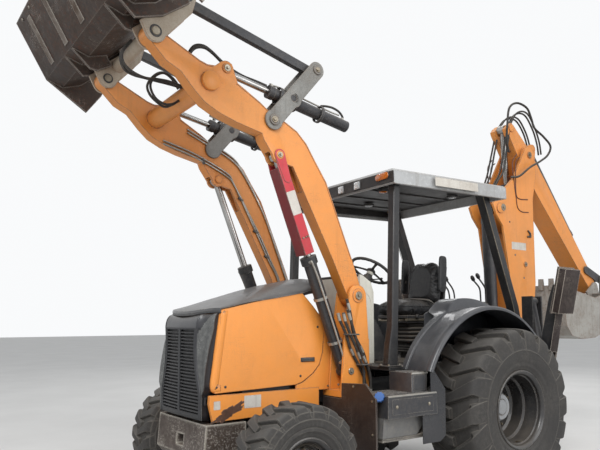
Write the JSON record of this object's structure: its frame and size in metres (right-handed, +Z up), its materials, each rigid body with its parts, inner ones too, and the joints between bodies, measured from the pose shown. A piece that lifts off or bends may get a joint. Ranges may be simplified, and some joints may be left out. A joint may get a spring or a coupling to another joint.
{
  "type": "backhoe loader",
  "caption": "Tractor loader with a wide bucket on raised front arms, a folded digging arm behind, an open canopy and swing-down stabiliser legs.",
  "frame": {"origin": "ground level under the middle of the overall length and width", "axes": "+X forward towards the loader bucket, +Y to the machine's left, +Z up"},
  "size_m": [6.9019, 2.36, 4.1088],
  "materials": {
    "orange": "satin",
    "black_paint": "satin",
    "dark_grey": "satin",
    "grey": "matte",
    "cast": "matte",
    "light_grey": "satin",
    "roof": "matte",
    "console": "matte",
    "worn_steel": "matte",
    "rod": "polished",
    "tyre": "matte",
    "seat_vinyl": "matte",
    "plastic": "matte"
  },
  "bodies": {
    "chassis": {"main_frame": "black_paint", "side_rails": "orange", "counterweight": "cast", "powertrain": "dark_grey", "front_axle": "black_paint", "rear_axle": "black_paint", "loader_towers": "orange", "platform": "black_paint", "side_boxes": "dark_grey", "rear_fenders": "black_paint", "canopy_roof": "roof", "canopy_posts": "black_paint", "front_console": "console", "control_stand": "black_paint", "backhoe_frame": "black_paint"},
    "hood": {"hood_sides": "orange", "hood_top": "dark_grey", "grille": "plastic"},
    "front_left_knuckle": {"front_left_knuckle": "black_paint"},
    "front_right_knuckle": {"front_right_knuckle": "black_paint"},
    "front_left_wheel": {"front_left_tyre": "tyre", "front_left_rim": "black_paint"},
    "front_right_wheel": {"front_right_tyre": "tyre", "front_right_rim": "black_paint"},
    "rear_left_wheel": {"rear_left_tyre": "tyre", "rear_left_rim": "black_paint"},
    "rear_right_wheel": {"rear_right_tyre": "tyre", "rear_right_rim": "black_paint"},
    "steering_wheel": {"steering_wheel": "plastic"},
    "seat": {"seat_base": "black_paint", "seat": "seat_vinyl"},
    "loader_arms": {"loader_arms": "orange"},
    "lift_barrels": {"lift_barrels": "dark_grey"},
    "lift_rods": {"lift_rods": "rod"},
    "bell_cranks": {"bell_cranks": "grey"},
    "tilt_links": {"tilt_links": "grey"},
    "tilt_barrels": {"tilt_barrels": "dark_grey"},
    "tilt_rods": {"tilt_rods": "rod"},
    "bucket": {"coupler": "light_grey", "loader_bucket": "worn_steel"},
    "swing_tower": {"swing_tower": "grey"},
    "boom": {"boom": "orange"},
    "dipper": {"dipper": "orange"},
    "dig_bucket": {"dig_bucket": "light_grey"},
    "bucket_lever": {"bucket_lever": "grey"},
    "bucket_link": {"bucket_link": "grey"},
    "boom_barrel": {"boom_barrel": "dark_grey"},
    "boom_rod": {"boom_rod": "rod"},
    "dipper_barrel": {"dipper_barrel": "dark_grey"},
    "dipper_rod": {"dipper_rod": "rod"},
    "dig_barrel": {"dig_barrel": "dark_grey"},
    "dig_rod": {"dig_rod": "rod"},
    "left_leg": {"left_leg": "black_paint"},
    "right_leg": {"right_leg": "black_paint"},
    "left_leg_barrel": {"left_leg_barrel": "dark_grey"},
    "right_leg_barrel": {"right_leg_barrel": "dark_grey"},
    "left_leg_rod": {"left_leg_rod": "rod"},
    "right_leg_rod": {"right_leg_rod": "rod"}
  },
  "joints": [
    {"name": "hood_tilt", "type": "hinge", "parent": "chassis", "child": "hood", "pos_m": [2.365, 0, 0.88], "axis": [0, -1, 0], "range_deg": [-50, 0]},
    {"name": "steer_left", "type": "hinge", "parent": "chassis", "child": "front_left_knuckle", "pos_m": [1.97, 0.66, 0.45], "axis": [0, 0, 1], "range_deg": [-35, 35]},
    {"name": "steer_right", "type": "hinge", "parent": "chassis", "child": "front_right_knuckle", "pos_m": [1.97, -0.66, 0.45], "axis": [0, 0, 1], "range_deg": [-35, 35]},
    {"name": "steering_wheel", "type": "hinge", "parent": "chassis", "child": "steering_wheel", "pos_m": [0.485, 0, 1.905], "axis": [-0.5519, 0, 0.8339], "range_deg": [-420, 420]},
    {"name": "front_left_spin", "type": "hinge", "parent": "front_left_knuckle", "child": "front_left_wheel", "pos_m": [1.97, 0.8765, 0.45], "axis": [0, 1, 0], "continuous": true},
    {"name": "front_right_spin", "type": "hinge", "parent": "front_right_knuckle", "child": "front_right_wheel", "pos_m": [1.97, -0.8765, 0.45], "axis": [0, 1, 0], "continuous": true},
    {"name": "rear_left_spin", "type": "hinge", "parent": "chassis", "child": "rear_left_wheel", "pos_m": [-0.205, 0.89, 0.69], "axis": [0, 1, 0], "continuous": true},
    {"name": "rear_right_spin", "type": "hinge", "parent": "chassis", "child": "rear_right_wheel", "pos_m": [-0.205, -0.89, 0.69], "axis": [0, 1, 0], "continuous": true},
    {"name": "seat_swivel", "type": "hinge", "parent": "chassis", "child": "seat", "pos_m": [-0.105, 0, 1.08], "axis": [0, 0, 1], "range_deg": [0, 180]},
    {"name": "lift", "type": "hinge", "parent": "chassis", "child": "loader_arms", "pos_m": [1.145, 0, 1.65], "axis": [0, 1, 0], "range_deg": [0, 83]},
    {"name": "lift_barrels", "type": "hinge", "parent": "chassis", "child": "lift_barrels", "pos_m": [1.225, 0, 1.05], "axis": [0, 1, 0], "range_deg": [-0.01, 64.97]},
    {"name": "lift_rods", "type": "slide", "parent": "lift_barrels", "child": "lift_rods", "axis": [0.371, 0, 0.9286], "range_m": [-0.684, 0.001]},
    {"name": "tilt", "type": "hinge", "parent": "loader_arms", "child": "bucket", "pos_m": [2.895, 0, 3.385], "axis": [0, 1, 0], "range_deg": [-25, 105]},
    {"name": "bell_cranks", "type": "hinge", "parent": "loader_arms", "child": "bell_cranks", "pos_m": [1.945, 0, 2.96], "axis": [0, 1, 0], "range_deg": [-14.17, 59.47]},
    {"name": "tilt_links", "type": "hinge", "parent": "bucket", "child": "tilt_links", "pos_m": [2.665, 0, 3.7], "axis": [0, 1, 0], "range_deg": [-92.89, 22.12]},
    {"name": "tilt_barrels", "type": "hinge", "parent": "bell_cranks", "child": "tilt_barrels", "pos_m": [1.763, 0, 3.166], "axis": [0, 1, 0], "range_deg": [-53.24, 12.69]},
    {"name": "tilt_rods", "type": "slide", "parent": "tilt_barrels", "child": "tilt_rods", "axis": [0.9852, 0, 0.1716], "range_m": [-0.271, 0.065]},
    {"name": "swing", "type": "hinge", "parent": "chassis", "child": "swing_tower", "pos_m": [-1.385, 0, 0.9], "axis": [0, 0, 1], "range_deg": [-80, 80]},
    {"name": "boom", "type": "hinge", "parent": "swing_tower", "child": "boom", "pos_m": [-1.705, 0, 1], "axis": [0, -1, 0], "range_deg": [0, 115]},
    {"name": "boom_barrel", "type": "hinge", "parent": "swing_tower", "child": "boom_barrel", "pos_m": [-1.335, 0, 1.35], "axis": [0, -1, 0], "range_deg": [-0.01, 114.69]},
    {"name": "boom_rod", "type": "slide", "parent": "boom_barrel", "child": "boom_rod", "axis": [0.0268, 0, 0.9996], "range_m": [-0.001, 0.881]},
    {"name": "dipper", "type": "hinge", "parent": "boom", "child": "dipper", "pos_m": [-1.885, 0, 3.385], "axis": [0, 1, 0], "range_deg": [0, 95]},
    {"name": "dipper_barrel", "type": "hinge", "parent": "boom", "child": "dipper_barrel", "pos_m": [-1.735, 0, 2.085], "axis": [0, 1, 0], "range_deg": [-0.01, 7.93]},
    {"name": "dipper_rod", "type": "slide", "parent": "dipper_barrel", "child": "dipper_rod", "axis": [0.0626, 0, 0.998], "range_m": [-0.555, 0.001]},
    {"name": "curl", "type": "hinge", "parent": "dipper", "child": "dig_bucket", "pos_m": [-3.266, 0, 1.866], "axis": [0, 1, 0], "range_deg": [0, 140]},
    {"name": "bucket_lever", "type": "hinge", "parent": "dipper", "child": "bucket_lever", "pos_m": [-3.0925, 0, 2.08658], "axis": [0, 1, 0], "range_deg": [-0.01, 101.51]},
    {"name": "bucket_link", "type": "hinge", "parent": "dig_bucket", "child": "bucket_link", "pos_m": [-3.369, 0, 1.584], "axis": [0, 1, 0], "range_deg": [-86.81, 0.01]},
    {"name": "dig_barrel", "type": "hinge", "parent": "dipper", "child": "dig_barrel", "pos_m": [-2.1036, 0, 3.51618], "axis": [0, 1, 0], "range_deg": [-0.01, 6.31]},
    {"name": "dig_rod", "type": "slide", "parent": "dig_barrel", "child": "dig_rod", "axis": [-0.6442, 0, -0.7649], "range_m": [-0.486, 0.001]},
    {"name": "left_stabiliser", "type": "hinge", "parent": "chassis", "child": "left_leg", "pos_m": [-1.13, 0.71, 0.74], "axis": [1, 0, 0], "range_deg": [-118, 0]},
    {"name": "left_leg_barrel", "type": "hinge", "parent": "chassis", "child": "left_leg_barrel", "pos_m": [-1.13, 0.64, 1.64], "axis": [1, 0, 0], "range_deg": [-0.01, 7.41]},
    {"name": "left_leg_rod", "type": "slide", "parent": "left_leg_barrel", "child": "left_leg_rod", "axis": [0, 0.1601, -0.9871], "range_m": [-0.001, 0.329]},
    {"name": "right_stabiliser", "type": "hinge", "parent": "chassis", "child": "right_leg", "pos_m": [-1.13, -0.71, 0.74], "axis": [-1, 0, 0], "range_deg": [-118, 0]},
    {"name": "right_leg_barrel", "type": "hinge", "parent": "chassis", "child": "right_leg_barrel", "pos_m": [-1.13, -0.64, 1.64], "axis": [-1, 0, 0], "range_deg": [-0.01, 7.41]},
    {"name": "right_leg_rod", "type": "slide", "parent": "right_leg_barrel", "child": "right_leg_rod", "axis": [0, -0.1601, -0.9871], "range_m": [-0.001, 0.329]}
  ],
  "couplings": [
    {"joint": "steer_right", "follows": "steer_left", "ratio": 1},
    {"joint": "steering_wheel", "follows": "steer_left", "ratio": 12},
    {"joint": "lift_barrels", "follows": "lift", "ratio": 0.7827},
    {"joint": "lift_rods", "follows": "lift", "m_per_rad": -0.4716},
    {"joint": "bell_cranks", "follows": "tilt", "ratio": 0.5663},
    {"joint": "tilt_links", "follows": "tilt", "ratio": -0.8846},
    {"joint": "tilt_barrels", "follows": "tilt", "ratio": -0.507},
    {"joint": "tilt_rods", "follows": "tilt", "m_per_rad": -0.1472},
    {"joint": "boom_barrel", "follows": "boom", "ratio": 0.9972},
    {"joint": "boom_rod", "follows": "boom", "m_per_rad": 0.4386},
    {"joint": "dipper_barrel", "follows": "dipper", "ratio": 0.0834},
    {"joint": "dipper_rod", "follows": "dipper", "m_per_rad": -0.3339},
    {"joint": "bucket_lever", "follows": "curl", "ratio": 0.725},
    {"joint": "bucket_link", "follows": "curl", "ratio": -0.62},
    {"joint": "dig_barrel", "follows": "curl", "ratio": 0.045},
    {"joint": "dig_rod", "follows": "curl", "m_per_rad": -0.1983},
    {"joint": "left_leg_barrel", "follows": "left_stabiliser", "ratio": -0.0627},
    {"joint": "left_leg_rod", "follows": "left_stabiliser", "m_per_rad": -0.1595},
    {"joint": "right_leg_barrel", "follows": "right_stabiliser", "ratio": -0.0627},
    {"joint": "right_leg_rod", "follows": "right_stabiliser", "m_per_rad": -0.1595}
  ]
}
